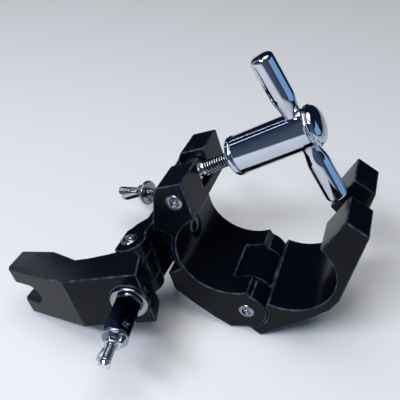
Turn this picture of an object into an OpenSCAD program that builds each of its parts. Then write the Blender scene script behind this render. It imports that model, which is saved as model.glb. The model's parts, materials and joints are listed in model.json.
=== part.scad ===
// Swivel pipe clamp: a wide main clamp and a narrow second clamp joined back to back by a swivel bolt.
// Main clamp: C-shaped body, hinged forked jaw, swing bolt with a T-handle nut.
// Second clamp: small body, hinged forked jaw with a shallow V, swing bolt with a wing nut.
// A hexagonal post with a threaded stud and its own wing nut stands on the small jaw.
// Millimetres. Origin on the main tube axis, at the middle of the clamp's width. +Y is the tube axis.

/* [Main clamp] */
// Diameter of the main tube seat
main_tube_d = 51; // [49:0.5:52]
// Width of the main clamp along its tube
main_w = 55; // [46:1:64]
// Tilt of the main clamp's mouth above horizontal, degrees
main_tilt = 31.9; // [28:0.1:36]
// Distance from the tube axis to the hinge pin and the swing pin
pin_circle_r = 38.5; // [38:0.1:40]
// Angle the main jaw stands open from closed, degrees
jaw_open = 48.6; // [40:0.1:50]
// Width of the fork slots that take the swing bolt
fork_slot_w = 13; // [11:0.5:15]
// Width of the jaw tongue in the hinge
tongue_w = 26; // [18:1:32]
// Radius of the hinge ears on the main body
hinge_ear_r = 11.3; // [10:0.1:11.6]
// Diameter of the main hinge pin and swing pin
main_pin_d = 6; // [5:0.5:7]
// Width left at the swivel pad between the two side scallops
pad_w = 32; // [28:1:36]

/* [Fasteners] */
// Head diameter of the pin screws
screw_head_d = 7.6; // [6.6:0.2:8.4]
// Shank diameter of the pin screws
screw_shank_d = 3; // [2.5:0.5:3.5]
// Hexagon key size of the pin screws
screw_key = 3; // [2:0.5:3.5]

/* [Main swing bolt and T handle] */
// Rod diameter of the main swing bolt
rod_d = 8; // [6:0.5:8.5]
// Length of the main swing bolt from its pin to its end
rod_len = 52; // [48:0.5:53]
// Outside diameter of the main swing bolt's eye
eye_d = 13; // [12:0.5:13.5]
// Angle of the bolt above the mouth direction, degrees
rod_lift = 1.9; // [0:0.1:4]
// Distance from swing pin to the near end of the handle
handle_near = 27.6; // [26:0.1:30]
// Diameter of the handle barrel
barrel_d = 19; // [17:0.5:20]
// Length of the handle barrel with its collar
barrel_len = 41.2; // [39:0.2:43]
// Thickness of the thrust collar at the near end
collar_t = 2; // [1.5:0.1:3]
// Height of the domed cap
cap_h = 6.4; // [5:0.2:8]
// How far the cross bar's hole lies from the open end of the barrel
bar_from_end = 4.6; // [4.2:0.1:5.6]
// Total length of the cross bar
bar_len = 79; // [70:1:80]
// Diameter of the cross bar at its ends
bar_end_d = 11.2; // [9.6:0.2:11.6]
// Diameter of the cross bar at the barrel
bar_neck_d = 8.4; // [6:0.1:8.8]

/* [Swivel] */
// Shank diameter of the swivel bolt
swivel_d = 8; // [7:0.5:9]
// Diameter of the round swivel boss
swivel_boss_d = 28; // [24:1:30]
// Distance from main tube axis to the swivel washer
swivel_plane = 38.5; // [38.5:0.1:40]
// Thickness of the swivel washer
swivel_gap = 1.2; // [1:0.1:1.5]

/* [Second clamp] */
// Diameter of the small tube seat
small_tube_d = 30; // [28:0.5:31]
// Distance from the swivel washer's seat to the small tube axis
small_seat_off = 21.8; // [21.5:0.1:23]
// Width of the second clamp along its tube
small_w = 32; // [28:1:36]
// Half distance between the two pins of the second clamp
small_pin_half = 32; // [32:0.1:33]
// Reach of the second jaw from its hinge to its tip
small_jaw_reach = 66.6; // [66:0.2:69]
// Depth of the second jaw from its hinge to its outer face
small_jaw_deep = 33.5; // [33:0.1:34.5]
// Radius of the second clamp's ears
small_ear_r = 9.6; // [9:0.1:9.8]
// Diameter of the second clamp's pins
small_pin_d = 5; // [4.5:0.5:5.5]
// Width of the small fork slots
small_slot_w = 13; // [12:0.5:14]
// Width of the small jaw's tongue
small_tongue_w = 14; // [12:1:16]

/* [Small swing bolt and wing nuts] */
// Rod diameter of the small swing bolt
small_rod_d = 6; // [5:0.5:6.5]
// Angle the small swing bolt leans away from its jaw, degrees
small_rod_lift = 11; // [4:0.5:14]
// Length of the small swing bolt from its pin
small_rod_len = 51; // [46:1:54]
// Distance from its pin to the wing nut's washer
small_nut_at = 26; // [20:0.5:27]
// Wing nut hub diameter
wing_hub_d = 10; // [9:0.2:11]
// Wing nut hub height
wing_hub_h = 5.5; // [5:0.1:7]
// Half span of the larger wing nut
wing_reach = 15; // [12:0.5:15]
// Rise of the wings
wing_rise = 11; // [10:0.5:12]
// Size of the stud's wing nut as a share of the larger one
stud_wing_share = 0.75; // [0.7:0.05:0.85]

/* [Stud and post] */
// Position of the post along the jaw face, as a fraction from the bevel
post_frac = 0.78; // [0.7:0.01:0.79]
// Width of the hexagonal post across its flats
post_af = 12.5; // [11:0.5:14]
// Length of the hexagonal post
post_len = 19.5; // [15:0.5:21]
// Length of stud standing beyond the post
stud_len = 18; // [17.5:0.5:22]
// Diameter of the stud's thread
stud_d = 5; // [4:0.5:6]
// Outside diameter of the washers under the post
post_washer_d = 18; // [16:0.5:19]

/* [Hidden] */
$fn = 96;
run = 0.05;
clear = 0.35;

// ---- main clamp, in its own plane: x along the mouth, y towards the swing pin, z towards the near face
seat_r = main_tube_d / 2;
pin_deg = 100;
hx = pin_circle_r * cos(pin_deg);
hy = -pin_circle_r * sin(pin_deg);
px = hx;
py = -hy;
half_w = main_w / 2;
main_pin_r = main_pin_d / 2;
ear_gap = 0.5;
tongue_r = 12.2;
tongue_cut_r = 12.65;
slot_floor = py - eye_d / 2 - 0.8;
slot_back = px - eye_d / 2 - 2;
swivel_deg = 197 - main_tilt;
sw_c = cos(swivel_deg);
sw_s = sin(swivel_deg);
pad_half = 10;
pad_a = [swivel_plane * sw_c + pad_half * sw_s, swivel_plane * sw_s - pad_half * sw_c];
pad_b = [swivel_plane * sw_c - pad_half * sw_s, swivel_plane * sw_s + pad_half * sw_c];
ring_wall = 2.8;
scallop_r = 15;
scallop_u = -33.7;
scallop_v = 13.1;
pad_step = 3;

body_outline = [
    [3, 46.4],
    [-11.4, 48.4],
    [-15.8, 44.5],
    [-28.4, 26.7],
    pad_a,
    pad_b,
    [-40.4, -13.4],
    [-34.6, -26],
    [-28, -38.4],
    [-22, -47.1],
    [-8.6, -49.0],
    [-6, -40],
    [1.2, -38],
    [0.4, -24],
    [-4, 0],
    [-1.6, 27.2]
];

jaw_outline = [
    [24.2, 42.4],
    [11.4, 45],
    [8.6, 24.7],
    [4, 0],
    [1.2, -24],
    [1.2, -27],
    [-2, -38],
    [-1.2, -49.0],
    [6.7, -51.2],
    [14.2, -38.6],
    [22.2, -25.6],
    [29.4, -10.2],
    [30.6, -1.3]
];

screw_head_r = screw_head_d / 2;
screw_shank_r = screw_shank_d / 2;
head_h = 2.2;
head_sink = 0.2;
head_room = 0.2;
head_edge = 0.5;
screw_reach = 7;
main_pin_half = half_w - head_sink - head_h;

jaw_fork_from = [-10, 15];
jaw_fork_long = 60;
jaw_fork_high = 40;

// ---- main swing bolt and handle, along the bolt's own axis
rod_r = rod_d / 2;
barrel_r = barrel_d / 2;
collar_r = barrel_r + 0.3;
eye_w = fork_slot_w - 2 * clear;
barrel_from = handle_near + collar_t + clear;
barrel_to = handle_near + barrel_len;
bar_at = handle_near + barrel_len - bar_from_end;
bar_neck_r = bar_neck_d / 2;
bar_end_r = bar_end_d / 2;
bar_half = bar_len / 2;
barrel_bore_to = bar_at - bar_neck_r - 0.4;
cap_round = 4.2;
bar_end_round = 2.4;
bar_cone = 9.5;
groove_w = 1.2;
groove_d = 0.8;

// ---- swivel, along its own axis
swivel_r = swivel_d / 2;
boss_r = swivel_boss_d / 2;
head_r = swivel_r * 1.6;
head_from = seat_r + 0.6;
head_len = 4.4;
small_face = swivel_plane + swivel_gap + 0.1;
washer_end = small_face - 0.3;
seat2_r = small_tube_d / 2;
seat2_a = swivel_plane + small_seat_off - 0.2;
nut_seat = small_face + 1.2;
nut_h = 3;
nut_af = swivel_d * 1.55;

// ---- second clamp, in its own plane: x away from the main clamp, y along the main tube, z across
small_hinge_drop = 12.3;
s_hx = seat2_a - small_hinge_drop;
s_hy = -small_pin_half;
s_px = s_hx;
s_py = small_pin_half;
small_half_w = small_w / 2;
small_pin_r = small_pin_d / 2;
small_tongue_r = 9.2;
small_cut_r = 9.7;
small_ear_gap = 0.5;
small_pin_end = small_half_w - head_sink - head_h;

lip_a = s_hx + 4.6;
saddle_w = 20;
small_outline = [
    [s_hx - 7.2, s_hy + 3],
    [s_hx - 2.8, s_hy - 4],
    [lip_a, s_hy - 2],
    [lip_a, s_hy + 4.6],
    [lip_a - 1, s_hy + 9.2],
    [lip_a - 3.4, s_hy + 14.4],
    [lip_a - 7.2, s_hy + 19],
    [lip_a - 7.2, s_py - 19],
    [lip_a - 3.4, s_py - 14.4],
    [lip_a - 1, s_py - 9.2],
    [lip_a, s_py - 4.6],
    [lip_a, s_py + 2],
    [s_hx - 2.8, s_py + 4],
    [s_hx - 7.2, s_py - 3],
    [small_face, 14.5],
    [small_face, -14.5]
];
saddle_outline = [
    [s_hx - 5.8, s_hy + 11],
    [s_hx + 4.2, s_hy + 11],
    [s_hx + 8.2, s_hy + 14],
    [s_hx + 8.2, s_py - 14],
    [s_hx + 4.2, s_py - 11],
    [s_hx - 5.8, s_py - 11]
];

face_b = [s_hx - 17.4, s_hy - small_jaw_deep + 6.6];
face_a = [s_hx + 23.5, s_hy - small_jaw_deep];
small_jaw_outline = [
    face_b,
    face_a,
    [s_hx + small_jaw_reach - 1.8, s_hy - small_jaw_deep + 8.7],
    [s_hx + small_jaw_reach, s_hy - small_jaw_deep + 11.3],
    [s_hx + small_jaw_reach - 0.4, s_hy - 9.2],
    [s_hx + small_jaw_reach - 23, s_hy - 9.6],
    [s_hx + 33.2, s_hy - 13.2],
    [s_hx + 25, s_hy - 16.2],
    [s_hx + 17.1, s_hy - 14.8],
    [s_hx + 6.2, s_hy - 11.4],
    [s_hx, s_hy - 8.6],
    [s_hx - 7.8, s_hy - 8.6],
    [s_hx - 13.2, s_hy - 13]
];
slot2_end = s_hx + small_jaw_reach - 18.4;
slot2_mid_y = s_hy - 18;
slot2_cut = 60;
slot2_past_tip = 40;
post_boss_deep = 4;
fork_past_ends = 40;
small_tongue_outline = [
    [s_hx - 6, s_hy],
    [s_hx - 11.8, s_hy - 14],
    [s_hx + 0.2, s_hy - 18],
    [s_hx + 14.2, s_hy - 16],
    [lip_a - 0.3, s_hy - 2]
];

// ---- stud and post, standing on the small jaw's outer face
face_dir = atan2(face_b[0] - face_a[0], face_a[1] - face_b[1]);
face_len = norm(face_b - face_a);
post_p = face_a + post_frac * (face_b - face_a);
post_boss_h = 0.3;
post_boss_rim = 1;
washer_t = 1.4;
spring_t = 1.5;
spring_inset = 3;
spring_gap = 1;
post_from = post_boss_h + washer_t + spring_t;
post_to = post_from + post_len;
stud_r = stud_d / 2;
relief_w = 0.8;
relief_d = 0.4;
stud_washer_t = 1.2;
stud_in = 8;
wing_top = post_to + 0.3 + stud_washer_t + clear + wing_rise * stud_wing_share;
post_screw_r = 2;
post_screw_back = 4;
post_screw_sink = 0.4;
post_socket_deep = 1.8;

small_rod_r = small_rod_d / 2;
small_eye_r = 5.6;
small_eye_w = small_slot_w - 2 * clear;
wing_t = 2.2;
wing_lobe = 3.8;
small_wing_turn = 108;
stud_wing_turn = -55;
small_washer_t = 1.2;
small_washer_r = 7.4;

module main_frame() {
    rotate([90, 0, 0])
    rotate([0, 0, main_tilt])
    children();
}

module jaw_frame() {
    main_frame()
    translate([hx, hy, 0])
    rotate([0, 0, -jaw_open])
    translate([-hx, -hy, 0])
    children();
}

module rod_frame() {
    main_frame()
    translate([px, py, 0])
    rotate([0, 0, rod_lift])
    children();
}

module small_frame() {
    rotate([0, 163, 0])
    children();
}

module small_rod_frame() {
    small_frame()
    translate([s_px, s_py, 0])
    rotate([0, 0, small_rod_lift])
    children();
}

module stud_frame() {
    small_frame()
    translate([post_p[0], post_p[1], 0])
    rotate([0, 0, face_dir])
    children();
}

module block(w) {
    translate([0, 0, -w / 2])
    linear_extrude(w)
    children();
}

module rod_x(r, from, to) {
    translate([from, 0, 0])
    rotate([0, 90, 0])
    cylinder(r = r, h = to - from);
}

module tube_x(r, bore, from, to) {
    difference() {
        rod_x(r, from, to);
        rod_x(bore, from - 1, to + 1);
    }
}

// hexagonal bar along x, measured across its flats
module hex_x(af, from, to) {
    translate([from, 0, 0])
    rotate([0, 90, 0])
    cylinder(r = af / 2 / cos(30), h = to - from, $fn = 6);
}

// hexagonal socket along z
module hex_z(af, from, to) {
    translate([0, 0, from])
    cylinder(r = af / 2 / cos(30), h = to - from, $fn = 6);
}

// clearance in an ear for a pin and the two screw heads in its ends
module pin_room(r, half, outer) {
    cylinder(r = r, h = 2 * half + 2, center = true);
    for (side = [-1, 1])
        scale([1, 1, side])
        translate([0, 0, half])
        cylinder(r = screw_head_r + head_room, h = outer - half + 1);
}

module pivot_pin(r, half) {
    difference() {
        cylinder(r = r, h = 2 * half, center = true);
        for (side = [-1, 1])
            scale([1, 1, side])
            translate([0, 0, half - screw_reach - 1])
            cylinder(r = screw_shank_r + run, h = screw_reach + 2);
    }
}

module pin_screws(half) {
    for (side = [-1, 1])
        rotate([0, side > 0 ? 0 : 180, 0])
        translate([0, 0, half])
        difference() {
            union() {
                cylinder(r = screw_head_r, h = head_h - head_edge);
                cylinder(r = screw_head_r - head_edge, h = head_h);
                translate([0, 0, -screw_reach])
                cylinder(r = screw_shank_r, h = screw_reach + 1);
            }
            hex_z(screw_key, 0.6, head_h + 1);
        }
}

// ---------- main clamp ----------

// round hollow beside the pad, outside the ring wall round the seat, and the step behind the arms
module side_scallop(side) {
    difference() {
        translate([scallop_u, scallop_v, side * (pad_w / 2 + main_w)])
        cylinder(r = scallop_r, h = 2 * main_w, center = true);
        cylinder(r = seat_r + ring_wall, h = 3 * main_w, center = true);
    }
    rotate([0, 0, swivel_deg])
    translate([swivel_plane - pad_step, -seat_r, side > 0 ? pad_w / 2 : -pad_w / 2 - main_w])
    cube([seat_r, 2 * seat_r, main_w]);
}

module main_body_block() {
    difference() {
        union() {
            block(main_w)
            union() {
                polygon(body_outline);
                translate([hx, hy])
                circle(r = hinge_ear_r);
            }
            rotate([0, 0, swivel_deg])
            rod_x(boss_r, seat_r + 1, swivel_plane);
        }
        cylinder(r = seat_r, h = main_w + 2, center = true);
        // room for the jaw's tongue, open to the tube seat
        block(tongue_w + 2 * clear)
        translate([hx, hy])
        union() {
            circle(r = tongue_cut_r);
            translate([-4, 6])
            square([16, 14]);
            translate([-2, -16])
            square([20, 16]);
        }
        // fork slot for the swing bolt, open at the front and the top
        block(fork_slot_w)
        translate([slot_back, slot_floor])
        square(fork_past_ends);
        translate([hx, hy, 0])
        pin_room(main_pin_r, main_pin_half, half_w);
        translate([px, py, 0])
        pin_room(main_pin_r, main_pin_half, half_w);
        // side scallops leave a narrow pad at the swivel
        for (side = [-1, 1])
            side_scallop(side);
        // swivel bolt: counterbore in the seat, running bore through the boss
        rotate([0, 0, swivel_deg])
        rod_x(swivel_r + run, seat_r - 6, swivel_plane + 1);
        rotate([0, 0, swivel_deg])
        rod_x(head_r + clear, seat_r - 6, head_from + head_len + clear);
    }
}

module main_body() {
    color("#16181b")
    main_frame()
    main_body_block();
}

module main_jaw() {
    color("#16181b")
    jaw_frame()
    difference() {
        union() {
            difference() {
                block(main_w)
                polygon(jaw_outline);
                translate([hx, hy, 0])
                cylinder(r = hinge_ear_r + ear_gap, h = main_w + 2, center = true);
            }
            block(tongue_w)
            union() {
                translate([hx, hy])
                circle(r = tongue_r);
                polygon([[hx, hy], [3.5, -28.5], [14, -37], [5, -49.5], [-1.2, -48.6]]);
            }
        }
        cylinder(r = seat_r, h = main_w + 2, center = true);
        block(fork_slot_w)
        translate(jaw_fork_from)
        square([jaw_fork_long, jaw_fork_high]);
        translate([hx, hy, 0])
        cylinder(r = main_pin_r + run, h = main_w, center = true);
    }
}

module main_hinge_pin() {
    color("#b9bcc0")
    main_frame()
    translate([hx, hy, 0])
    pivot_pin(main_pin_r, main_pin_half);
}

module main_hinge_screws() {
    color("#d6d8da")
    main_frame()
    translate([hx, hy, 0])
    pin_screws(main_pin_half);
}

module swing_pin() {
    color("#b9bcc0")
    main_frame()
    translate([px, py, 0])
    pivot_pin(main_pin_r, main_pin_half);
}

module swing_pin_screws() {
    color("#d6d8da")
    main_frame()
    translate([px, py, 0])
    pin_screws(main_pin_half);
}

// ---------- main swing bolt and T handle ----------

module swing_bolt() {
    color("#c4c6c8")
    rod_frame()
    difference() {
        union() {
            cylinder(r = eye_d / 2, h = eye_w, center = true);
            rod_x(rod_r, 0, rod_len - 1);
            rod_x(rod_r - 0.6, 0, rod_len);
        }
        cylinder(r = main_pin_r + run, h = eye_w + 2, center = true);
    }
}

module handle_collar() {
    color("#d9dcde")
    rod_frame()
    difference() {
        union() {
            rod_x(collar_r - 0.4, handle_near, handle_near + collar_t);
            rod_x(collar_r, handle_near + 0.4, handle_near + collar_t - 0.3);
        }
        rod_x(rod_r + run, handle_near - 1, handle_near + collar_t + 1);
    }
}

module handle_barrel() {
    color("#dfe2e4")
    rod_frame()
    difference() {
        rod_x(barrel_r, barrel_from, barrel_to);
        rod_x(rod_r + run, barrel_from - 1, barrel_bore_to);
        translate([bar_at, 0, 0])
        rotate([90, 0, 0])
        cylinder(r = bar_neck_r, h = barrel_d + 4, center = true);
        tube_x(barrel_r + 2, barrel_r - groove_d, barrel_to - groove_w, barrel_to + 1);
    }
}

module handle_cap() {
    color("#dfe2e4")
    rod_frame()
    translate([barrel_to, 0, 0])
    rotate([0, 90, 0])
    rotate_extrude()
    union() {
        square([barrel_r, cap_h - cap_round]);
        square([barrel_r - cap_round, cap_h]);
        intersection() {
            translate([barrel_r - cap_round, cap_h - cap_round])
            circle(r = cap_round);
            square([barrel_r, cap_h]);
        }
    }
}

module bar_profile() {
    polygon([
        [0, 0],
        [bar_neck_r, 0],
        [bar_neck_r, barrel_r + 0.5],
        [bar_end_r - 0.2, barrel_r + bar_cone],
        [bar_end_r, bar_half - bar_end_round],
        [bar_end_r - bar_end_round * 0.3, bar_half - bar_end_round * 0.3],
        [bar_end_r - bar_end_round, bar_half],
        [0, bar_half]
    ]);
}

module handle_bar() {
    color("#dfe2e4")
    rod_frame()
    translate([bar_at, 0, 0])
    for (flip = [-90, 90])
        rotate([flip, 0, 0])
        rotate_extrude()
        bar_profile();
}

// ---------- swivel ----------

module swivel_bolt() {
    color("#8d9094")
    small_frame()
    difference() {
        union() {
            rod_x(swivel_r, head_from, nut_seat + nut_h + 0.4);
            rod_x(head_r, head_from, head_from + head_len);
        }
        hex_x(5, head_from - 1, head_from + 2.6);
    }
}

module swivel_washer() {
    color("#8d9094")
    small_frame()
    tube_x(boss_r - 1.5, swivel_r + run, swivel_plane, washer_end);
}

module swivel_nut() {
    color("#8d9094")
    small_frame()
    difference() {
        hex_x(nut_af, nut_seat, nut_seat + nut_h);
        rod_x(swivel_r, nut_seat - 1, nut_seat + nut_h + 1);
    }
}

// ---------- second clamp ----------

// round ear cut flat on the side of the tube
module flat_ear(r) {
    difference() {
        circle(r = r);
        translate([lip_a - s_hx, -2 * r])
        square([r, 4 * r]);
    }
}

module small_body() {
    color("#14161a")
    small_frame()
    difference() {
        union() {
            block(small_w)
            union() {
                polygon(small_outline);
                for (side = [-1, 1])
                    translate([s_hx, side * small_pin_half])
                    flat_ear(small_ear_r);
            }
            block(saddle_w)
            polygon(saddle_outline);
        }
        translate([seat2_a, 0, 0])
        cylinder(r = seat2_r, h = small_w + 2, center = true);
        block(small_tongue_w + 2 * clear)
        translate([s_hx, s_hy])
        union() {
            circle(r = small_cut_r);
            translate([0, -12])
            square([16, 14]);
            translate([-12, -14])
            square([20, 14]);
        }
        block(small_slot_w)
        translate([s_px - small_eye_r - 1, s_py - small_eye_r - 1])
        square(fork_past_ends);
        translate([s_hx, s_hy, 0])
        pin_room(small_pin_r, small_pin_end, small_half_w);
        translate([s_px, s_py, 0])
        pin_room(small_pin_r, small_pin_end, small_half_w);
        rod_x(swivel_r, small_face - 1, seat2_a);
        rod_x(nut_af / 2 / cos(30) + 0.3, nut_seat, seat2_a);
    }
}

module small_jaw() {
    color("#14161a")
    small_frame()
    difference() {
        union() {
            difference() {
                block(small_w)
                polygon(small_jaw_outline);
                translate([s_hx, s_hy, 0])
                cylinder(r = small_ear_r + small_ear_gap, h = small_w + 2, center = true);
            }
            block(small_tongue_w)
            union() {
                translate([s_hx, s_hy])
                flat_ear(small_tongue_r);
                polygon(small_tongue_outline);
            }
            translate([post_p[0], post_p[1], 0])
            rotate([0, 0, face_dir])
            rod_x(post_washer_d / 2 + post_boss_rim, -post_boss_deep, post_boss_h);
        }
        // U-shaped fork slot, open at the tip
        translate([slot2_end + small_slot_w / 2, slot2_mid_y, 0])
        rotate([90, 0, 0])
        cylinder(r = small_slot_w / 2, h = slot2_cut, center = true);
        translate([slot2_end + small_slot_w / 2, slot2_mid_y - slot2_cut / 2, -small_slot_w / 2])
        cube([slot2_past_tip, slot2_cut, small_slot_w]);
        translate([s_hx, s_hy, 0])
        cylinder(r = small_pin_r + run, h = small_w, center = true);
        translate([post_p[0], post_p[1], 0])
        rotate([0, 0, face_dir])
        rod_x(stud_r, -stud_in, post_boss_h + 1);
    }
}

module small_hinge_pin() {
    color("#b9bcc0")
    small_frame()
    translate([s_hx, s_hy, 0])
    pivot_pin(small_pin_r, small_pin_end);
}

module small_hinge_screws() {
    color("#d6d8da")
    small_frame()
    translate([s_hx, s_hy, 0])
    pin_screws(small_pin_end);
}

module small_swing_pin() {
    color("#b9bcc0")
    small_frame()
    translate([s_px, s_py, 0])
    pivot_pin(small_pin_r, small_pin_end);
}

module small_swing_pin_screws() {
    color("#d6d8da")
    small_frame()
    translate([s_px, s_py, 0])
    pin_screws(small_pin_end);
}

module small_swing_bolt() {
    color("#c4c6c8")
    small_rod_frame()
    difference() {
        union() {
            cylinder(r = small_eye_r, h = small_eye_w, center = true);
            rod_x(small_rod_r, 0, small_rod_len - 1);
            rod_x(small_rod_r - 0.6, 0, small_rod_len);
        }
        cylinder(r = small_pin_r + run, h = small_eye_w + 2, center = true);
    }
}

// wing nut along x, its flat base at the given place, its sizes a share of the larger nut's
module wing_nut(from, bore, share) {
    reach = wing_reach * share;
    rise = wing_rise * share;
    lobe = wing_lobe * share;
    hub_r = wing_hub_d / 2 * share;
    hub_h = wing_hub_h * share;
    difference() {
        translate([from, 0, 0])
        union() {
            rod_x(hub_r, 0, hub_h);
            for (side = [-1, 1])
                rotate([90, 0, 0])
                translate([0, 0, -wing_t / 2])
                linear_extrude(wing_t)
                union() {
                    translate([rise - lobe, side * (reach - lobe)])
                    circle(r = lobe);
                    polygon([
                        [0.1 * hub_h, side * 2],
                        [0.1 * hub_h, side * hub_r],
                        [rise - 1.7 * lobe, side * (reach - 0.25 * lobe)],
                        [rise - 0.2 * lobe, side * (reach - 1.7 * lobe)],
                        [0.9 * hub_h, side * 0.7 * hub_r]
                    ]);
                }
        }
        rod_x(bore, from - 1, from + hub_h + rise + 1);
    }
}

module small_nut_washer() {
    color("#d9dcde")
    small_rod_frame()
    tube_x(small_washer_r, small_rod_r + run, small_nut_at, small_nut_at + small_washer_t);
}

module small_wing_nut() {
    color("#dfe2e4")
    small_rod_frame()
    rotate([small_wing_turn, 0, 0])
    wing_nut(small_nut_at + small_washer_t + clear, small_rod_r + run, 1);
}

// ---------- stud and post ----------

module post_washer() {
    color("#d6d8da")
    stud_frame()
    tube_x(post_washer_d / 2, stud_r + 0.3, post_boss_h, post_boss_h + washer_t);
}

module spring_washer() {
    color("#c0c3c6")
    stud_frame()
    difference() {
        tube_x(post_washer_d / 2 - spring_inset, stud_r + 0.3, post_boss_h + washer_t, post_from);
        translate([post_boss_h, 0, -spring_gap / 2])
        cube([post_from, post_washer_d, spring_gap]);
    }
}

module hex_post() {
    color("#101215")
    stud_frame()
    rotate([30, 0, 0])
    difference() {
        hex_x(post_af, post_from, post_to);
        rod_x(stud_r, post_from - 1, post_to + 1);
        translate([post_to - post_screw_back, 0, 0])
        rotate([-90, 0, 0])
        translate([0, 0, -post_af])
        cylinder(r = post_screw_r + run, h = post_af);
    }
}

module post_screw() {
    color("#c4c6c8")
    stud_frame()
    rotate([30, 0, 0])
    translate([post_to - post_screw_back, 0, 0])
    rotate([90, 0, 0])
    difference() {
        translate([0, 0, stud_r + 0.05])
        cylinder(r = post_screw_r, h = post_af / 2 - stud_r - post_screw_sink);
        hex_z(post_screw_r, post_af / 2 - post_socket_deep, post_af);
    }
}

module stud() {
    color("#c4c6c8")
    stud_frame()
    union() {
        rod_x(stud_r, -stud_in, wing_top - relief_w);
        rod_x(stud_r - relief_d, wing_top - relief_w - 1, wing_top + 1);
        rod_x(stud_r, wing_top, post_to + stud_len - 1);
        rod_x(stud_r - 0.7, wing_top, post_to + stud_len);
    }
}

module stud_nut_washer() {
    color("#d9dcde")
    stud_frame()
    tube_x(post_af / 2 - 0.3, stud_r + run, post_to + 0.3, post_to + 0.3 + stud_washer_t);
}

module stud_wing_nut() {
    color("#dfe2e4")
    stud_frame()
    rotate([stud_wing_turn, 0, 0])
    wing_nut(post_to + 0.3 + stud_washer_t + clear, stud_r + run, stud_wing_share);
}

main_body();
main_jaw();
main_hinge_pin();
main_hinge_screws();
swing_pin();
swing_pin_screws();
swing_bolt();
handle_collar();
handle_barrel();
handle_cap();
handle_bar();
swivel_bolt();
swivel_washer();
swivel_nut();
small_body();
small_jaw();
small_hinge_pin();
small_hinge_screws();
small_swing_pin();
small_swing_pin_screws();
small_swing_bolt();
small_nut_washer();
small_wing_nut();
post_washer();
spring_washer();
hex_post();
post_screw();
stud();
stud_nut_washer();
stud_wing_nut();
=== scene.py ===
# %% [markdown]
# Swivel pipe clamp for stage tube
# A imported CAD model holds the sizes, the fits and the joints of this clamp.
# This notebook gives each visible piece its real surface: rounded cast edges under black powder
# coat, rolled threads, turned chrome with soft corners, and zinc-plated screws.

# %% Load the fixed frame
import bpy, bmesh, json, math
from mathutils import Matrix, Vector


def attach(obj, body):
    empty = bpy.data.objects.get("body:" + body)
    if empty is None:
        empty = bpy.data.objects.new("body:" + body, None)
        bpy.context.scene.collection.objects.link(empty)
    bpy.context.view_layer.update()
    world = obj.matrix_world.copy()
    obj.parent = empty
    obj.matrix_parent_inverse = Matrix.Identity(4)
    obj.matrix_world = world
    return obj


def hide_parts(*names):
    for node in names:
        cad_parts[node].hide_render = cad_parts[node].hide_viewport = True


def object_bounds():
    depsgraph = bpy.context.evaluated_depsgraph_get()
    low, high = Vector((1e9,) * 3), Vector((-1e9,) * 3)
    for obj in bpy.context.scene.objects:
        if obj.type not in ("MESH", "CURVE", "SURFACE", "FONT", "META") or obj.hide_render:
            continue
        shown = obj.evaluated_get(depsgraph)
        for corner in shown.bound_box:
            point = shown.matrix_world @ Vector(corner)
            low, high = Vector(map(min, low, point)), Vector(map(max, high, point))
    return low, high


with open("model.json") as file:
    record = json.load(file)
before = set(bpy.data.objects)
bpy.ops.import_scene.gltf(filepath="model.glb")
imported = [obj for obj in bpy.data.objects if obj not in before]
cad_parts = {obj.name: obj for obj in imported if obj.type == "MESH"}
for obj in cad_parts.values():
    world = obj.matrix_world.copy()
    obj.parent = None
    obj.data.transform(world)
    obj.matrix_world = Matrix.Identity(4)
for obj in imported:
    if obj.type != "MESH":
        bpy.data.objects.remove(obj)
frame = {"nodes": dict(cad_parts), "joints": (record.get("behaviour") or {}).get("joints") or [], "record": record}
nodes = frame["nodes"]
cad_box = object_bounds()
joints = {j["name"]: j for j in frame["joints"]}
MM = 0.001
FULL_TURN = 2 * math.pi

# %% [markdown]
# Camera
# A camera is placed by its own three axes: where it looks, what is right and what is up.
# Building the matrix from these axes is exact, and needs no tracking constraint.

# %% Camera
CAMERA_AT_MM = (53.57, -217.97, 188.33)
CAMERA_AZIMUTH, CAMERA_ELEVATION = 19.05, 37.48
LENS_MM, SENSOR_MM, NEAR_CLIP = 47.91, 36, 0.01

def set_camera(place_mm, azimuth, elevation, lens):
    a, e = math.radians(azimuth), math.radians(elevation)
    look = Vector((-math.sin(a) * math.cos(e), math.cos(a) * math.cos(e), -math.sin(e)))
    right = Vector((math.cos(a), math.sin(a), 0))
    up = right.cross(look)
    data = bpy.data.cameras.new("Camera")
    data.lens, data.sensor_width, data.clip_start = lens, SENSOR_MM, NEAR_CLIP
    cam = bpy.data.objects.new("Camera", data)
    turn = Matrix((right, up, -look)).transposed().to_4x4()
    cam.matrix_world = Matrix.Translation(Vector(place_mm) * MM) @ turn
    bpy.context.scene.collection.objects.link(cam)
    bpy.context.scene.camera = cam
    return cam

camera = set_camera(CAMERA_AT_MM, CAMERA_AZIMUTH, CAMERA_ELEVATION, LENS_MM)
print("camera at", [round(v, 3) for v in camera.location])

# %% [markdown]
# Node helper and colours
# Materials and geometry trees are both node trees. One small function adds a node and links its
# inputs. Sockets that share one name, as on Mix and Math nodes, are reached by number instead.
# Colours are written as sRGB hex, as a paint chart gives them, and one function turns them to
# linear.

# %% Helpers for node trees
def linear(hex_code, alpha=1.0):
    out = []
    for i in (1, 3, 5):
        c = int(hex_code[i:i + 2], 16) / 255
        out.append(c / 12.92 if c <= 0.04045 else ((c + 0.055) / 1.055) ** 2.4)
    return (*out, alpha)

def add(tree, kind, inputs=None, **options):
    n = tree.nodes.new(kind)
    for k, v in options.items():
        setattr(n, k, v)
    for k, v in (inputs or {}).items():
        if isinstance(v, bpy.types.NodeSocket):
            tree.links.new(v, n.inputs[k])
        else:
            n.inputs[k].default_value = v
    return n

def new_material(name):
    m = bpy.data.materials.new(name)
    m.use_nodes = True
    m.node_tree.nodes.clear()
    return m, m.node_tree

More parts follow.
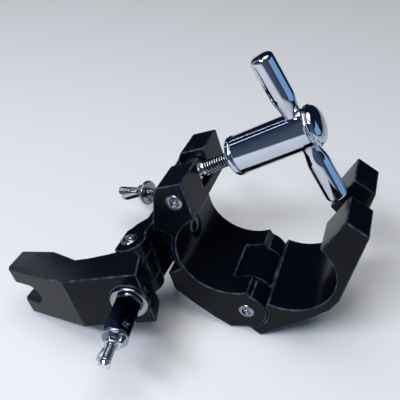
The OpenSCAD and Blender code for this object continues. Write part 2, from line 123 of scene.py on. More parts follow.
def object_noise(t, scale, detail=2.0, roughness=0.5):
    place = add(t, "ShaderNodeTexCoord").outputs["Object"]
    return add(t, "ShaderNodeTexNoise", {"Vector": place, "Scale": scale, "Detail": detail,
                                         "Roughness": roughness}).outputs["Fac"]

def spread(t, value, low, high, out_low=0.0, out_high=1.0):
    return add(t, "ShaderNodeMapRange", {"Value": value, "From Min": low, "From Max": high,
                                         "To Min": out_low, "To Max": out_high}).outputs["Result"]

def blended(t, factor, first, second):
    return add(t, "ShaderNodeMix", {"Factor": factor, 6: first, 7: second},
               data_type="RGBA").outputs[2]

def mesh_value(t, name):
    return add(t, "ShaderNodeAttribute", attribute_name=name).outputs["Fac"]

def relief(t, height, strength, depth_m):
    return add(t, "ShaderNodeBump", {"Height": height, "Strength": strength,
                                     "Distance": depth_m}).outputs[0]

def surfaced(m, t, inputs):
    b = add(t, "ShaderNodeBsdfPrincipled", inputs)
    add(t, "ShaderNodeOutputMaterial", {"Surface": b.outputs[0]})
    print("material:", m.name)
    return m

# %% [markdown]
# Black powder coat
# Powder coat is sprayed dry and baked, so it keeps a fine orange peel about 0.4 mm across over the
# slow waves of the casting. Along its edges it carries a lighter line, partly wear and partly a painted highlight.
# The peel is bump from two noises. The edge line reads an attribute that the casting's mesh
# carries. The coat's specular level is low, because the peel breaks
# up most of what a smooth paint would mirror.

# %% Powder-coated aluminium
# the third colour is the lighter edge line: partly wear, partly a painted highlight
COAT_DEEP, COAT_LIGHT, COAT_EDGE_WEAR_AND_SHEEN = linear("#04060a"), linear("#090c13"), linear("#465264")
COAT_GLOSS = (0.17, 0.27)
COAT_SPECULAR = 0.13
PEEL_STRENGTH, PEEL_DEPTH = 0.1, 0.00008

def powder_coat():
    m, t = new_material("black_powder_coated_aluminium")
    peel = object_noise(t, 2400, 2.0)
    wave = object_noise(t, 180, 3.0)
    cloud = object_noise(t, 60, 4.0, 0.6)
    # lighter blue-grey on the bevel faces, broken up by noise: partly edge wear, partly a painted highlight
    edge_breakup = spread(t, object_noise(t, 260, 3.0), 0.42, 0.68, 0.18, 1.0)
    edge_wear_and_sheen = add(t, "ShaderNodeMath", {0: mesh_value(t, "edge"), 1: edge_breakup},
               operation="MULTIPLY").outputs[0]
    coat = blended(t, cloud, COAT_DEEP, COAT_LIGHT)
    high = add(t, "ShaderNodeMath", {0: wave, 1: 2.5, 2: peel},
               operation="MULTIPLY_ADD").outputs[0]
    return surfaced(m, t, {"Base Color": blended(t, edge_wear_and_sheen, coat, COAT_EDGE_WEAR_AND_SHEEN),
                           "Roughness": spread(t, cloud, 0.3, 0.7, *COAT_GLOSS),
                           "Normal": relief(t, high, PEEL_STRENGTH, PEEL_DEPTH),
                           "Specular IOR Level": COAT_SPECULAR})

black_coat = powder_coat()

# %% [markdown]
# Chrome, zinc, thread with painted shade in its roots, and blacked steel
# The handle is turned, polished and chromed: near-mirror, with a faint haze. Screws and washers
# are zinc plated: greyer and softer, with fine mottling. The threads are the same zinc, rubbed
# bright on the crests, with painted shade dark in the roots, and the thread's mesh carries how deep
# each point lies. The hexagonal post is steel, blacked in a hot bath that leaves it blue-black. One
# function makes all four, because they differ only in colour, polish and the size of their marks.

# %% Metals
# painted shade for the thread roots
ROOT_SHADE = linear("#0a101c")
ROOT_SHADE_FROM, ROOT_SHADE_FULL = 0.1, 0.45
HAIRLINE_SCALE, HAIRLINE_STRENGTH = 5200, 0.1

def plated(name, colour, shade, gloss, mark_scale, mark_depth, shaded_roots=False):
    m, t = new_material(name)
    cloud = object_noise(t, mark_scale, 4.0, 0.6)
    fine = object_noise(t, HAIRLINE_SCALE, 2.0)
    tone = blended(t, cloud, linear(colour), linear(shade))
    if shaded_roots:
        # painted shade: the colour darkens with the depth of each point in the thread
        root_shade = spread(t, mesh_value(t, "root"), ROOT_SHADE_FROM, ROOT_SHADE_FULL)
        tone = blended(t, root_shade, tone, ROOT_SHADE)
    return surfaced(m, t, {"Base Color": tone, "Metallic": 1.0,
                           "Roughness": spread(t, cloud, 0.3, 0.7, *gloss),
                           "Normal": relief(t, fine, HAIRLINE_STRENGTH, mark_depth)})

chrome = plated("polished_chrome", "#cdd2da", "#b9c0ca", (0.03, 0.07), 90, 0.000003)
zinc = plated("bright_zinc_steel", "#a9adb3", "#868b93", (0.14, 0.26), 260, 0.00002)
thread_zinc = plated("zinc_thread_painted_root_shade", "#eceef1", "#cfd3d8", (0.14, 0.24), 260, 0.00001,
                     shaded_roots=True)
dark_steel = plated("blacked_steel", "#15283f", "#1b3049", (0.1, 0.18), 200, 0.00001)
finish_of = {"black_casting": black_coat, "chrome": chrome, "bright_zinc": zinc,
             "black_steel": dark_steel}
slot_of = {p["node"]: p["material_slot"] for p in frame["record"]["subparts"]}
for name, node in nodes.items():
    node.data.materials.clear()
    node.data.materials.append(finish_of[slot_of[name]])
print("finishes set on", len(nodes), "nodes")

# %% [markdown]
# Helpers for pieces
# Each new piece is linked, given its material and tied to its CAD body, and the CAD node it stands
# for is hidden. Modifiers are baked to a plain mesh first, so that nothing is left to work out when a joint
# moves. A geometry group's inputs are found by their names, and the shared end of each group
# realizes its instances and sets the finish.

# %% Piece helpers
body_of = {n: b for b, group in frame["record"]["behaviour"]["bodies"].items() for n in group}
FLATS = ("WEIGHTED_NORMAL", {"keep_sharp": True})

def link_piece(name, mesh, material, node):
    piece = bpy.data.objects.new(name, mesh)
    bpy.context.scene.collection.objects.link(piece)
    mesh.materials.clear()
    mesh.materials.append(material)
    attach(piece, body_of[node])
    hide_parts(node)
    print(name, len(mesh.polygons), "faces")
    return piece

def socket_ids(group):
    return {s.name: s.identifier for s in group.interface.items_tree if s.in_out == "INPUT"}

def worked(mesh, *modifiers):
    # a scratch object that carries the mesh through its modifiers, then is removed
    work = bpy.data.objects.new("work", mesh)
    bpy.context.scene.collection.objects.link(work)
    for kind, settings in modifiers:
        m = work.modifiers.new(kind.lower(), kind)
        for key, value in settings.items():
            if key != "inputs":
                setattr(m, key, value)
        for label, value in settings.get("inputs", {}).items():
            m[socket_ids(m.node_group)[label]] = value
    graph = bpy.context.evaluated_depsgraph_get()
    out = bpy.data.meshes.new_from_object(work.evaluated_get(graph))
    bpy.data.objects.remove(work)
    return out

def new_group(name, numbers):
    # a geometry group with a mesh input, then named numbers with a default each, then a finish
    g = bpy.data.node_groups.new(name, "GeometryNodeTree")
    face = g.interface
    face.new_socket("Geometry", in_out="INPUT", socket_type="NodeSocketGeometry")
    for label, value in numbers.items():
        kind = "NodeSocketInt" if isinstance(value, int) else "NodeSocketFloat"
        face.new_socket(label, in_out="INPUT", socket_type=kind).default_value = value
    face.new_socket("Finish", in_out="INPUT", socket_type="NodeSocketMaterial")
    face.new_socket("Geometry", in_out="OUTPUT", socket_type="NodeSocketGeometry")
    return g, g.nodes.new("NodeGroupInput").outputs

def end_group(g, geometry, finish):
    real = add(g, "GeometryNodeRealizeInstances", {"Geometry": geometry})
    done = add(g, "GeometryNodeSetMaterial", {"Geometry": real.outputs[0], "Material": finish})
    out = g.nodes.new("NodeGroupOutput")
    g.links.new(done.outputs[0], out.inputs[0])
    print("geometry group:", g.name)
    return g

def from_bmesh(bm, name):
    bmesh.ops.recalc_face_normals(bm, faces=bm.faces)
    for face in bm.faces:
        face.smooth = True
    mesh = bpy.data.meshes.new(name)
    bm.to_mesh(mesh)
    bm.free()
    return mesh

def joined(name, meshes):
    bm = bmesh.new()
    for m in meshes:
        bm.from_mesh(m)
    return from_bmesh(bm, name)

# %% [markdown]
# Castings
# A casting leaves its mould with rounded edges, and the coat rounds them more. That thin round
# catches the light along every edge, so it shows the shape. A shading trick would lose the
# outline, so the CAD shape is copied, its loose triangles are merged to flat faces, and a Bevel
# modifier rounds each edge sharper than 14 degrees. Weighted normals keep the flat faces flat.
# The blacked hexagons and the swivel bolt get the same treatment with a smaller round. A die-cast
# wing nut is all thin webs that flow into its hub, which a bevel would tear, so its skin is
# remade in even 0.2 mm cells and relaxed instead.

# %% Rounded copies of CAD pieces
MERGE_MM, FLAT_DEGREES, BEVEL_DEGREES, BEVEL_STEPS = 0.002, 0.4, 14, 3
CAST_EDGE_MM, MACHINED_EDGE_MM = 0.7, 0.35
WING_CELL_MM, WING_RELAX_PASSES = 0.2, 6

def clean_copy(node):
    bm = bmesh.new()
    bm.from_mesh(nodes[node].data)
    bmesh.ops.remove_doubles(bm, verts=bm.verts, dist=MERGE_MM * MM)
    bmesh.ops.dissolve_limit(bm, angle_limit=math.radians(FLAT_DEGREES), verts=bm.verts,
                             edges=bm.edges)
    return from_bmesh(bm, node + "_shape")

def mark_edges(mesh):
    # 1 on the faces that the bevel made, 0 on the flats
    mark = mesh.attributes.new("edge", "FLOAT", "FACE")
    for face in mesh.polygons:
        mark.data[face.index].value = float(face.material_index)
        face.material_index = 0

def rounded(node, radius_mm, material, suffix):
    # the bevel gives its own faces the second slot, so that they can be told from the flats
    mesh = clean_copy(node)
    mesh.materials.clear()
    mesh.materials.append(material)
    mesh.materials.append(material)
    bevel = ("BEVEL", {"width": radius_mm * MM, "segments": BEVEL_STEPS,
                       "limit_method": "ANGLE", "angle_limit": math.radians(BEVEL_DEGREES),
                       "use_clamp_overlap": False, "miter_outer": "MITER_ARC", "material": 1})
    mesh = worked(mesh, bevel, FLATS)
    mark_edges(mesh)
    return link_piece(node + suffix, mesh, material, node)

def cast_soft(node, material, suffix):
    skin = ("REMESH", {"mode": "VOXEL", "voxel_size": WING_CELL_MM * MM,
                       "use_smooth_shade": True})
    relax = ("SMOOTH", {"factor": 0.5, "iterations": WING_RELAX_PASSES})
    return link_piece(node + suffix, worked(clean_copy(node), skin, relax), material, node)

for node in ("main_body", "main_jaw", "small_body", "small_jaw"):
    rounded(node, CAST_EDGE_MM, black_coat, "_casting")
for node in ("small_wing_nut", "stud_wing_nut"):
    cast_soft(node, chrome, "_die_cast")
for node in ("hex_post", "swivel_nut", "swivel_bolt"):
    rounded(node, MACHINED_EDGE_MM, dark_steel, "_blacked")

# %% [markdown]
# Turned pieces
# The handle, washers and bolt eyes come off a lathe, so each is one outline turned about an axis.
# A turner breaks every sharp corner, and chrome shows that break as a bright line. So the outline
# is a list of corners, each with its own round, and an arc replaces the corner before the outline
# is turned. Sizes and axes are read from the CAD nodes and joints, so the turned piece always
# fits its neighbours.

# %% Lathe
ARC_STEPS, TURNED_SIDES = 6, 96
ON_AXIS_MM = 1e-6

def soft_outline(corners):
    # corners are (along, radius, round) in mm
    out = []
    for i, (x, r, soft) in enumerate(corners):
        here = Vector((x, r))
        if soft <= 0 or i in (0, len(corners) - 1):
            out.append(here)
            continue
        back = (Vector(corners[i - 1][:2]) - here).normalized()
        ahead = (Vector(corners[i + 1][:2]) - here).normalized()
        half = back.angle(ahead) / 2
        centre = here + (back + ahead).normalized() * (soft / math.sin(half))
        first = here + back * (soft / math.tan(half)) - centre
        last = here + ahead * (soft / math.tan(half)) - centre
        for k in range(ARC_STEPS + 1):
            out.append(centre + first.slerp(last, k / ARC_STEPS))
    return out

def axis_matrix(origin, axis):
    x = Vector(axis).normalized()
    side = x.orthogonal().normalized()
    up = x.cross(side)
    return Matrix.Translation(origin) @ Matrix((x, side, up)).transposed().to_4x4()

def ring_at(bm, x, radius_at, around):
    # one ring of points round x; radius_at gives the radius in mm at each angle
    row = []
    for k in range(around):
        a = FULL_TURN * k / around
        r = radius_at(a) * MM
        row.append(bm.verts.new((x * MM, r * math.cos(a), r * math.sin(a))))
    return row

def outline_rows(bm, corners, around):
    rows = []
    for x, r in soft_outline(corners):
        if r < ON_AXIS_MM:
            rows.append([bm.verts.new((x * MM, 0, 0))])
        else:
            rows.append(ring_at(bm, x, lambda a: r, around))
    return rows

def skin_rows(bm, pairs, around):
    # quads between two rings, and triangles where one of them is a point on the axis
    for a, b in pairs:
        for k in range(around):
            n = (k + 1) % around
            loop = [a[k % len(a)], a[n % len(a)], b[n % len(b)], b[k % len(b)]]
            bm.faces.new(list(dict.fromkeys(loop)))

def turned(corners, origin, axis, ring=False):
    # ring: the outline closes on itself round a bore; otherwise it starts and ends on the axis
    bm = bmesh.new()
    rows = outline_rows(bm, corners, TURNED_SIDES)
    pairs = list(zip(rows, rows[1:]))
    if ring:
        pairs.append((rows[-1], rows[0]))
    skin_rows(bm, pairs, TURNED_SIDES)
    bmesh.ops.transform(bm, matrix=axis_matrix(origin, axis), verts=bm.verts)
    return from_bmesh(bm, "turned")

def span(node, origin, axis):
    # where a node starts and ends along an axis, and its least and greatest radius, in mm
    along, out = [], []
    for v in nodes[node].data.vertices:
        d = v.co - origin
        t = d.dot(axis)
        along.append(t / MM)
        out.append((d - axis * t).length / MM)
    return min(along), max(along), min(out), max(out)

def joint_at(name):
    return Vector(joints[name]["pos_m"])

def joint_way(name):
    return Vector(joints[name]["axis"])

rod_from, rod_way = joint_at("swing_pivot"), joint_way("handle_turn").normalized()
small_from = joint_at("second_swing_pivot")
small_way = joint_way("second_nut_turn").normalized()
stud_from, stud_way = joint_at("stud_nut_turn"), joint_way("stud_nut_turn").normalized()
swivel_from, swivel_way = joint_at("swivel_turn"), joint_way("swivel_turn").normalized()
pin_way, small_pin_way = joint_way("swing_pivot"), joint_way("second_swing_pivot")
print("swing bolt axis", tuple(round(v, 3) for v in rod_way))

# %% [markdown]
# Chromed handle
# The barrel has a soft lead-in at the collar, the cap is a low dome behind a fine groove, and the
# cross bar swells from its neck to its grips. Each is turned from its own outline. The cap's dome
# is a superellipse, which runs from flat to round with no visible seam.

# %% Collar and barrel
COLLAR_LIP, COLLAR_STEP, COLLAR_ROUND = 0.3, 0.02, 0.5
BORE_DEPTH, BORE_ROUND = 12, 0.3
LEAD_IN_DROP, LEAD_IN_LENGTH, LEAD_IN_ROUND = 0.9, 0.7, 0.6

c0, c1, ring_lo, ring_r = span("handle_collar", rod_from, rod_way)
collar = turned([(c0, ring_lo, 0.2), (c0, ring_r - COLLAR_LIP, 0),
                 (c0 + COLLAR_STEP, ring_r - COLLAR_LIP, 0),
                 (c0 + COLLAR_LIP, ring_r, COLLAR_ROUND), (c1, ring_r, COLLAR_ROUND),
                 (c1, ring_lo, 0.2)], rod_from, rod_way, ring=True)
link_piece("collar_chromed", worked(collar, FLATS), chrome, "handle_collar")

b0, b1, bore, barrel_r = span("handle_barrel", rod_from, rod_way)
barrel = turned([(b0 + BORE_DEPTH, 0, 0), (b0 + BORE_DEPTH, bore, 0), (b0, bore, BORE_ROUND),
                 (b0, barrel_r - LEAD_IN_DROP, BORE_ROUND),
                 (b0 + LEAD_IN_LENGTH, barrel_r, LEAD_IN_ROUND), (b1, barrel_r, 0),
                 (b1, 0, 0)], rod_from, rod_way)
link_piece("barrel_chromed", worked(barrel, FLATS), chrome, "handle_barrel")

# %% Cap
GROOVE_FROM_SEAT, GROOVE_WIDTH, GROOVE_DEPTH, GROOVE_LEAN = 1.5, 0.8, 0.6, 0.15
DOME_POWER, DOME_STEPS, DOME_RIM = 2.4, 24, 0.3

k0, k1, _, cap_r = span("handle_cap", rod_from, rod_way)
groove_at = k0 + GROOVE_FROM_SEAT
dome_from = groove_at + GROOVE_WIDTH
dome_rise = k1 - dome_from - DOME_RIM
dome = []
for i in range(1, DOME_STEPS + 1):
    turn = math.pi / 2 * i / DOME_STEPS
    along = dome_from + DOME_RIM + dome_rise * math.sin(turn) ** (2 / DOME_POWER)
    out = cap_r * math.cos(turn) ** (2 / DOME_POWER) if i < DOME_STEPS else 0
    dome.append((along, out, 0))
groove_r = cap_r - GROOVE_DEPTH
cap = turned([(k0, 0, 0), (k0, cap_r, 0), (groove_at, cap_r, 0.35),
              (groove_at + GROOVE_LEAN, groove_r, GROOVE_LEAN),
              (dome_from - GROOVE_LEAN, groove_r, GROOVE_LEAN), (dome_from, cap_r, 0.3)] + dome,
             rod_from, rod_way)
link_piece("cap_chromed", worked(cap, FLATS), chrome, "handle_cap")

# %% Cross bar
NECK_SHARE, SWELL_LENGTH, TIP_ROUND, TIP_CLEAR = 0.75, 9.5, 2.2, 3
ARM_STEPS, TIP_STEPS, ROOT_SUNK = 24, 8, 2

bar_a, bar_b, _, _ = span("handle_bar", rod_from, rod_way)
bar_way = rod_way.cross(pin_way).normalized()
bar_from = rod_from + rod_way * ((bar_a + bar_b) / 2) * MM
bar_end, _, _, grip_r = span("handle_bar", bar_from, bar_way)
half_bar = -bar_end
neck_r = (bar_b - bar_a) / 2 * NECK_SHARE

def bar_radius(x):
    # narrow at the barrel, full at the grip, with an eased swell between
    t = min(max((x - barrel_r) / SWELL_LENGTH, 0), 1)
    return neck_r + (grip_r - neck_r) * (3 * t * t - 2 * t ** 3)

def bar_outline():
    places = [barrel_r - ROOT_SUNK + (half_bar - barrel_r) * i / ARM_STEPS
              for i in range(ARM_STEPS)]
    arm = [(x, bar_radius(x), 0) for x in places if x < half_bar - TIP_CLEAR]
    tip = [(half_bar - TIP_ROUND + TIP_ROUND * math.sin(t),
            grip_r - TIP_ROUND + TIP_ROUND * math.cos(t), 0)
           for t in (math.pi / 2 * k / TIP_STEPS for k in range(TIP_STEPS + 1))]
    right = arm + tip + [(half_bar, 0, 0)]
    return [(-x, r, 0) for x, r, _ in reversed(right)] + right

bar = turned(bar_outline(), bar_from, bar_way)
link_piece("cross_bar_chromed", worked(bar, FLATS), chrome, "handle_bar")

# %% [markdown]
# Rolled threads
# A rolled thread is one smooth helix with rounded roots and crests that runs out at the tip.
# Geometry Nodes makes it: a grid is wrapped round the axis, and its radius follows a wave whose
# phase climbs one pitch per turn. The first and last rows fall onto the axis and close the ends.
# Rings stacked like washers would be simpler, but close up the lean of the crests would be
# missing. The depth of each point is stored on the mesh, for the painted shade in the roots.

# %% Thread node group
ROOT_WIDTH_POWER, RUN_OUT_RATE = 0.8, 1.3

def thread_group():
    g, inp = new_group("rolled_thread", {"Radius": 0.003, "Length": 0.03, "Pitch": 0.001,
                                         "Depth": 0.0005, "Chamfer": 0.001, "Rows": 64,
                                         "Around": 64})
    def calc(op, a, b=0.0, c=0.0):
        return add(g, "ShaderNodeMath", {0: a, 1: b, 2: c}, operation=op).outputs[0]
    grid = add(g, "GeometryNodeMeshGrid", {"Size X": 1.0, "Size Y": 1.0,
                                           "Vertices X": inp["Rows"],
                                           "Vertices Y": inp["Around"]})
    position = add(g, "GeometryNodeInputPosition").outputs[0]
    place = add(g, "ShaderNodeSeparateXYZ", {0: position}).outputs
    u = calc("ADD", place["X"], 0.5)
    v = calc("ADD", place["Y"], 0.5)
    # the first and last rows are end caps, so the thread runs between the second and the last
    # but one
    step = calc("DIVIDE", 1.0, calc("SUBTRACT", inp["Rows"], 1.0))
    last = calc("SUBTRACT", 1.0, step)
    along = add(g, "ShaderNodeMapRange", {"Value": u, "From Min": step, "From Max": last,
                                          "To Min": 0.0, "To Max": inp["Length"]}).outputs["Result"]
    turns = calc("SUBTRACT", calc("DIVIDE", along, inp["Pitch"]), v)
    wave = calc("MULTIPLY_ADD", calc("COSINE", calc("MULTIPLY", turns, FULL_TURN)), -0.5, 0.5)
    cut = calc("POWER", wave, ROOT_WIDTH_POWER)
    lead = calc("DIVIDE", calc("SUBTRACT", inp["Length"], along), inp["Chamfer"])
    run_out = calc("MULTIPLY", calc("MAXIMUM", calc("SUBTRACT", 1.0, lead), 0.0), RUN_OUT_RATE)
    sunk = calc("MAXIMUM", cut, run_out)
    radius = calc("SUBTRACT", inp["Radius"], calc("MULTIPLY", sunk, inp["Depth"]))
    half_step = calc("MULTIPLY", step, 0.5)
    inside = calc("MULTIPLY", calc("GREATER_THAN", u, half_step),
                  calc("LESS_THAN", u, calc("ADD", last, half_step)))
    radius = calc("MULTIPLY", radius, inside)
    angle = calc("MULTIPLY", v, FULL_TURN)
    spot = add(g, "ShaderNodeCombineXYZ", {0: along,
                                           1: calc("MULTIPLY", radius, calc("COSINE", angle)),
                                           2: calc("MULTIPLY", radius, calc("SINE", angle))})
    kept = add(g, "GeometryNodeStoreNamedAttribute",
               {"Geometry": grid.outputs["Mesh"], "Name": "root",
                "Value": calc("MULTIPLY", cut, inside)}, data_type="FLOAT", domain="POINT")
    wrapped = add(g, "GeometryNodeSetPosition", {"Geometry": kept.outputs[0],
                                                 "Position": spot.outputs[0]})
    closed = add(g, "GeometryNodeMergeByDistance", {"Geometry": wrapped.outputs[0],
                                                    "Distance": 1e-6})
    return end_group(g, closed.outputs[0], inp["Finish"])

rolled_thread = thread_group()
THREAD_SIDES, ROWS_PER_TURN, END_ROWS = 48, 12, 3

def thread(origin, axis, start, end, radius, pitch, depth, chamfer=1.0):
    rows = int((end - start) / pitch * ROWS_PER_TURN) + END_ROWS
    inputs = {"Radius": radius * MM, "Length": (end - start) * MM, "Pitch": pitch * MM,
              "Depth": depth * MM, "Chamfer": chamfer * MM, "Rows": rows,
              "Around": THREAD_SIDES + 1, "Finish": thread_zinc}
    mesh = worked(bpy.data.meshes.new("blank"),
                  ("NODES", {"node_group": rolled_thread, "inputs": inputs}))
    mesh.transform(axis_matrix(origin + axis * start * MM, axis))
    return mesh

# %% [markdown]
# Bolts, stud and eyes
# Each swing bolt is forged with a round eye and a short shoulder, then its thread is rolled. The
# parts of one bolt are joined to one mesh, because they are one piece of steel. The pitches drawn
# here are wider than the ones the joints move by, so that the crests stay readable from a step
# away; only the drawing is coarser, and each nut still travels as its joint says.

# %% Bolts
MAIN_PITCH, MAIN_DEPTH = 1.5, 0.85
SMALL_PITCH, SMALL_DEPTH = 1.25, 0.65
STUD_PITCH, STUD_DEPTH, STUD_CHAMFER, STUD_TIP = 1.35, 0.7, 0.3, 2.4
BORE_CLEARANCE, PIN_CLEARANCE, NUT_CLEARANCE = 0.35, 0.05, 0.05

def eye(origin, axis, width, radius, bore_r):
    h = width / 2
    return turned([(-h, bore_r, 0.3), (-h, radius, 1.1), (h, radius, 1.1), (h, bore_r, 0.3)],
                  origin, axis, ring=True)

def shoulder(origin, axis, start, end, thick, thin):
    return turned([(start, 0, 0), (start, thick, 0), (end - 1.5, thick, 0.8), (end, thin, 0.3),
                   (end + 0.5, thin, 0), (end + 0.5, 0, 0)], origin, axis)

def one_steel_piece(name, node, parts):
    link_piece(name, worked(joined(node, parts), FLATS), thread_zinc, node)

_, rod_end, _, _ = span("swing_bolt", rod_from, rod_way)
e0, e1, _, _ = span("swing_bolt", rod_from, pin_way)
eye_r = -span("swing_bolt", rod_from, rod_way)[0]
rod_r = bore - BORE_CLEARANCE
pin_r = span("swing_pin", rod_from, pin_way)[3]
one_steel_piece("swing_bolt_zinc", "swing_bolt", [
    thread(rod_from, rod_way, eye_r + 2.4, rod_end, rod_r, MAIN_PITCH, MAIN_DEPTH),
    eye(rod_from, pin_way, e1 - e0, eye_r, pin_r + PIN_CLEARANCE),
    shoulder(rod_from, rod_way, pin_r + 1.5, eye_r + 3.4, rod_r + 0.2, rod_r - 0.5)])

_, small_end, _, _ = span("small_swing_bolt", small_from, small_way)
s0, s1, _, _ = span("small_swing_bolt", small_from, small_pin_way)
small_eye_r = -span("small_swing_bolt", small_from, small_way)[0]
small_pin_r = span("small_swing_pin", small_from, small_pin_way)[3]
small_rod_r = span("small_nut_washer", small_from, small_way)[2] - NUT_CLEARANCE
one_steel_piece("small_bolt_zinc", "small_swing_bolt", [
    thread(small_from, small_way, small_eye_r + 1.8, small_end, small_rod_r, SMALL_PITCH,
           SMALL_DEPTH),
    eye(small_from, small_pin_way, s1 - s0, small_eye_r, small_pin_r + PIN_CLEARANCE),
    shoulder(small_from, small_way, small_pin_r + 1, small_eye_r + 2.5, small_rod_r,
             small_rod_r - 0.4)])

stud_a, stud_b, _, stud_r = span("stud", stud_from, stud_way)
tip_from = stud_b - STUD_TIP
one_steel_piece("stud_zinc", "stud", [
    thread(stud_from, stud_way, stud_a, tip_from + 0.4, stud_r, STUD_PITCH, STUD_DEPTH,
           STUD_CHAMFER),
    turned([(tip_from, 0, 0), (tip_from, stud_r - 0.5, 0.2), (tip_from + 0.7, stud_r, 0.6),
            (stud_b, stud_r - 0.1, 1.3), (stud_b, 0, 0)], stud_from, stud_way)])

# %% [markdown]
# Washers
# Pressed washers have one rolled edge and one burred edge, and plating softens both. The spring
# washer is a squared wire cut once and twisted, so it keeps its CAD shape with a small round.

# %% Washers
WASHER_ROUND, WIRE_ROUND = 0.35, 0.25

def washer(node, origin, axis, material):
    w0, w1, inner, outer = span(node, origin, axis)
    bore_soft = WASHER_ROUND * 0.6
    mesh = turned([(w0, inner, bore_soft), (w0, outer, WASHER_ROUND),
                   (w1, outer, WASHER_ROUND), (w1, inner, bore_soft)], origin, axis, ring=True)
    link_piece(node + "_turned", worked(mesh, FLATS), material, node)

washer("post_washer", stud_from, stud_way, zinc)
washer("stud_nut_washer", stud_from, stud_way, zinc)
washer("small_nut_washer", small_from, small_way, zinc)
washer("swivel_washer", swivel_from, swivel_way, dark_steel)
rounded("spring_washer", WIRE_ROUND, zinc, "_sprung")

# %% [markdown]
# Pin screws
# Each hinge pin is held by two socket screws sunk in the ears. The head is a low button: a bright
# rounded rim, a shallow dish and a hexagon socket. It is modelled once, and Geometry Nodes sets
# one on each end of the pin and turns the second to face outwards. The grub screw in the
# hexagonal post keeps its CAD shape with a small round.

# %% Screw head
HEAD_SIDES = 72
SHANK_DEPTH, SHANK_SHARE = 2, 0.55
RIM_WIDTH, DISH_WIDTH, DISH_DEPTH = 0.75, 1.15, 0.35
SOCKET_SHARE, SOCKET_CHAMFER, SOCKET_FLOOR, SOCKET_POINT = 0.8, 0.06, 1.7, 2.0

def socket_head(radius, height, key):
    # head outline round x, its seat at x = 0, and a hexagon socket instead of a pole
    bm = bmesh.new()
    shank = radius * SHANK_SHARE
    rows = outline_rows(bm, [
        (-SHANK_DEPTH, 0, 0), (-SHANK_DEPTH, shank, 0), (0, shank, 0.1), (0, radius, 0.15),
        (height, radius, 0.45), (height, radius - RIM_WIDTH, 0.15),
        (height - DISH_DEPTH, radius - DISH_WIDTH, 0.25), (height - 0.45, key, 0)], HEAD_SIDES)
    def hexagon(x, flat):
        sixth = math.pi / 3
        return ring_at(bm, x, lambda a: flat / math.cos((a + sixth / 2) % sixth - sixth / 2),
                       HEAD_SIDES)
    flat = key * SOCKET_SHARE
    rows.append(hexagon(height - 0.5, flat))
    rows.append(hexagon(height - 0.6, flat - SOCKET_CHAMFER))
    rows.append(hexagon(height - SOCKET_FLOOR, flat - SOCKET_CHAMFER))
    rows.append([bm.verts.new(((height - SOCKET_POINT) * MM, 0, 0))])
    skin_rows(bm, zip(rows, rows[1:]), HEAD_SIDES)
    return from_bmesh(bm, "socket_head")

def pair_group():
    g, inp = new_group("screw_on_each_end", {"Half Length": 0.01})
    half = inp["Half Length"]
    back = add(g, "ShaderNodeMath", {0: half, 1: -1.0}, operation="MULTIPLY").outputs[0]
    whole = add(g, "ShaderNodeMath", {0: half, 1: 2.0}, operation="MULTIPLY").outputs[0]
    start = add(g, "ShaderNodeCombineXYZ", {0: back}).outputs[0]
    step = add(g, "ShaderNodeCombineXYZ", {0: whole}).outputs[0]
    line = add(g, "GeometryNodeMeshLine", {"Count": 2, "Start Location": start, "Offset": step})
    index = add(g, "GeometryNodeInputIndex").outputs[0]
    turn = add(g, "ShaderNodeMath", {0: index, 1: -math.pi, 2: math.pi},
               operation="MULTIPLY_ADD").outputs[0]
    spin = add(g, "ShaderNodeCombineXYZ", {2: turn}).outputs[0]
    both = add(g, "GeometryNodeInstanceOnPoints", {"Points": line.outputs[0],
                                                   "Instance": inp["Geometry"],
                                                   "Rotation": spin})
    return end_group(g, both.outputs[0], inp["Finish"])

screw_pair = pair_group()

# %% Screws in the pins' ends
KEY_SHARE, GRUB_ROUND = 0.5, 0.2

def pin_screws(node, pin, origin, axis):
    _, pin_end, _, _ = span(pin, origin, axis)
    _, head_end, _, head_r = span(node, origin, axis)
    head = socket_head(head_r, head_end - pin_end, head_r * KEY_SHARE)
    inputs = {"Half Length": pin_end * MM, "Finish": zinc}
    mesh = worked(head, ("NODES", {"node_group": screw_pair, "inputs": inputs}), FLATS)
    mesh.transform(axis_matrix(origin, axis))
    link_piece(node + "_socket", mesh, zinc, node)

pin_screws("main_hinge_screws", "main_hinge_pin", joint_at("jaw_hinge"), pin_way)
pin_screws("swing_pin_screws", "swing_pin", rod_from, pin_way)
pin_screws("small_hinge_screws", "small_hinge_pin", joint_at("second_jaw_hinge"),
           small_pin_way)
pin_screws("small_swing_pin_screws", "small_swing_pin", small_from, small_pin_way)
rounded("post_screw", GRUB_ROUND, zinc, "_grub")

# %% [markdown]
# Floor, light and surroundings
# Chrome and gloss black show what stands round them, so the room matters as much as the lamps. An
# overhead soft box evens a pale floor. A small window in front draws the thin bright lines along
# the cast edges, a bluish one at the right runs down the cross bar, and two tall thin slits at the
# left draw hairline streaks on the barrel. The wall is dark blue behind and blue-grey in front
# where metal mirrors it, but the camera sees a plain pale wall, and no lamp. A three-lamp set-up
# with a white room would be easier, but the black parts would turn grey.

# %% Floor
FLOOR_HALF = 1.4

low = cad_box[0].z
sides = ((-1, -1), (1, -1), (1, 1), (-1, 1))
floor_mesh = bpy.data.meshes.new("floor")
floor_mesh.from_pydata([(x * FLOOR_HALF, y * FLOOR_HALF, low) for x, y in sides],
                       [], [(0, 1, 2, 3)])
floor = bpy.data.objects.new("floor", floor_mesh)
bpy.context.scene.collection.objects.link(floor)
paper, paper_tree = new_material("studio_floor")
floor_mesh.materials.append(surfaced(paper, paper_tree, {
    "Base Color": linear("#e6e4e0"), "Roughness": 0.85, "Specular IOR Level": 0.15}))

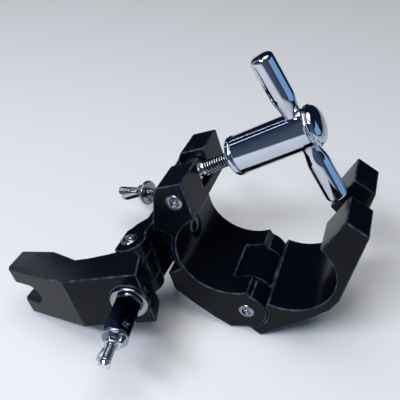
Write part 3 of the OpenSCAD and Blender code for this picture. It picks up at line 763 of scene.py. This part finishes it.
# %% Lamps
LAMP_AIM = (0, 0, 0.02)
LAMPS = (  # name, place in m, size in m, watts, colour
    ("overhead", (0.0, -0.1, 2.2), (1.6, 1.6), 27, "#fbfaf8"),
    ("front_window", (-0.28, -0.62, 0.78), (0.5, 0.14), 9.0, "#e6eeff"),
    ("right_window", (1.3, 0.15, 0.34), (1.4, 0.6), 2.4, "#8dbcf2"),
    ("back_slit", (-1.16, 0.68, 0.43), (0.02, 1.5), 0.75, "#e6f0ff"),
    ("side_slit", (-1.28, 0.1, 0.6), (0.03, 1.5), 1.0, "#cfe2ff"))

def soft_light(name, place, size, watts, colour):
    data = bpy.data.lights.new(name, "AREA")
    data.shape, data.size = "RECTANGLE", size[0]
    data.size_y = size[1]
    data.energy = watts
    data.color = linear(colour)[:3]
    lamp = bpy.data.objects.new(name, data)
    lamp.location = place
    lamp.visible_camera = False
    lamp.rotation_mode = "QUATERNION"
    lamp.rotation_quaternion = (Vector(LAMP_AIM) - Vector(place)).to_track_quat("-Z", "Y")
    bpy.context.scene.collection.objects.link(lamp)

for lamp in LAMPS:
    soft_light(*lamp)
print("lamps:", [lamp[0] for lamp in LAMPS])

# %% Walls
WALL_BEHIND, WALL_IN_FRONT, WALL_SEEN = linear("#16233c"), linear("#5b6a80"), linear("#dcdcdc")
MIRRORED_STRENGTH = 0.8

world = bpy.data.worlds.new("studio")
bpy.context.scene.world = world
world.use_nodes = True
wt = world.node_tree
wt.nodes.clear()
ray = add(wt, "ShaderNodeTexCoord").outputs["Generated"]
ahead = add(wt, "ShaderNodeSeparateXYZ", {"Vector": ray}).outputs["Y"]
room = blended(wt, spread(wt, ahead, 0.1, -0.9), WALL_BEHIND, WALL_IN_FRONT)
seen = add(wt, "ShaderNodeBackground", {"Color": WALL_SEEN, "Strength": 1.0})
mirrored = add(wt, "ShaderNodeBackground", {"Color": room, "Strength": MIRRORED_STRENGTH})
straight = add(wt, "ShaderNodeLightPath").outputs["Is Camera Ray"]
walls = add(wt, "ShaderNodeMixShader", {0: straight, 1: mirrored.outputs[0],
                                        2: seen.outputs[0]})
add(wt, "ShaderNodeOutputWorld", {"Surface": walls.outputs[0]})
bpy.context.scene.view_settings.view_transform = "Standard"
print("walls:", world.name)
